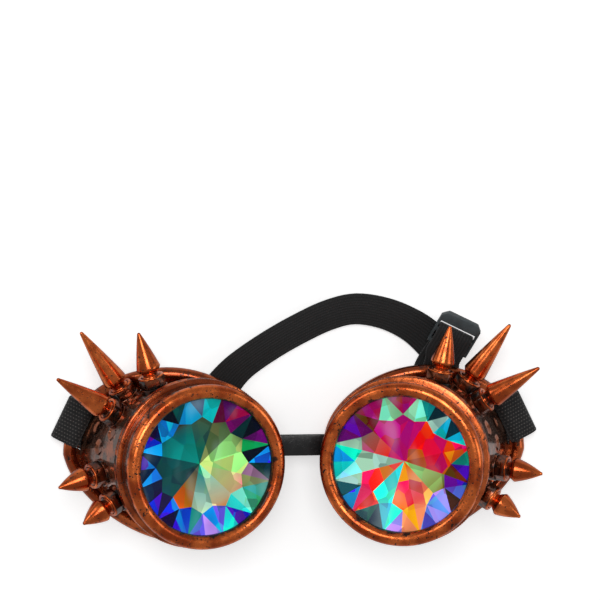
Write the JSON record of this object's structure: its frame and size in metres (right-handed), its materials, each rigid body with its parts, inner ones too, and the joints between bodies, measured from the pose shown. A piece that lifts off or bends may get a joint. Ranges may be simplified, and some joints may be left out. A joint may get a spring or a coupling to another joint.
{
  "type": "goggles",
  "caption": "Round-lens costume goggles in worn copper finish with cone spikes, faceted rainbow lenses, screw-on bezels, a bridge strip and an elastic strap with an adjuster.",
  "frame": {"origin": "midway between the two cups on the plane of the rear rims, level with the lens centres", "axes": "+Z toward the lens side, +Y toward the brow, +X to the right as seen from the lens side"},
  "size_m": [0.1846, 0.0942, 0.0483],
  "materials": {
    "copper": "aged copper plating over moulded plastic, glossy lacquer, dark patina in the hollows",
    "spike_copper": "bright aged copper plating over moulded plastic, black specks",
    "nut_copper": "dark copper plating over moulded plastic, bright edges",
    "crystal": "clear faceted crystal with rainbow reflections",
    "rubber": "matte black",
    "steel": "plain",
    "webbing": "black woven webbing",
    "elastic": "black ribbed elastic",
    "black_plastic": "satin black",
    "bridge_strip": "smooth flexible strip"
  },
  "bodies": {
    "left_eye": {"left_cup": "copper", "left_lens": "crystal", "left_lens_cushion": "rubber", "left_spike_temple": "spike_copper", "left_spike_upper": "spike_copper", "left_spike_brow": "spike_copper", "left_spike_side": "spike_copper", "left_spike_cheek": "spike_copper", "left_spike_nuts": "nut_copper", "left_spike_screws": "steel", "left_webbing_loop": "webbing", "left_strap_ring": "black_plastic", "nose_bridge": "bridge_strip", "elastic_strap": "elastic"},
    "left_gasket": {"left_front_gasket": "rubber"},
    "left_ring": {"left_bezel": "copper"},
    "right_eye": {"right_cup": "copper", "right_lens": "crystal", "right_lens_cushion": "rubber", "right_spike_temple": "spike_copper", "right_spike_upper": "spike_copper", "right_spike_brow": "spike_copper", "right_spike_side": "spike_copper", "right_spike_cheek": "spike_copper", "right_spike_nuts": "nut_copper", "right_spike_screws": "steel", "right_webbing_loop": "webbing", "right_strap_ring": "black_plastic", "strap_adjuster": "black_plastic"},
    "right_gasket": {"right_front_gasket": "rubber"},
    "right_ring": {"right_bezel": "copper"}
  },
  "joints": [
    {"name": "bridge_flex", "type": "hinge", "parent": "left_eye", "child": "right_eye", "pos_m": [0, 0.0038, 0.012], "axis": [0, 1, 0], "range_deg": [-20, 40], "stiffness_Nm_per_rad": 0.3, "deforming": ["nose_bridge", "elastic_strap"]},
    {"name": "left_bezel_lift", "type": "slide", "parent": "left_eye", "child": "left_gasket", "axis": [0.2756, 0, 0.9613], "range_m": [0, 0.004]},
    {"name": "left_bezel_turn", "type": "hinge", "parent": "left_gasket", "child": "left_ring", "pos_m": [-0.0356, 0, 0.038], "axis": [0.2756, 0, 0.9613], "range_deg": [0, 720]},
    {"name": "right_bezel_lift", "type": "slide", "parent": "right_eye", "child": "right_gasket", "axis": [-0.2756, 0, 0.9613], "range_m": [0, 0.004]},
    {"name": "right_bezel_turn", "type": "hinge", "parent": "right_gasket", "child": "right_ring", "pos_m": [0.0356, 0, 0.038], "axis": [-0.2756, 0, 0.9613], "range_deg": [0, 720]}
  ],
  "couplings": [
    {"joint": "left_bezel_turn", "follows": "left_bezel_lift", "rad_per_m": 3141.6},
    {"joint": "right_bezel_turn", "follows": "right_bezel_lift", "rad_per_m": 3141.6}
  ]
}
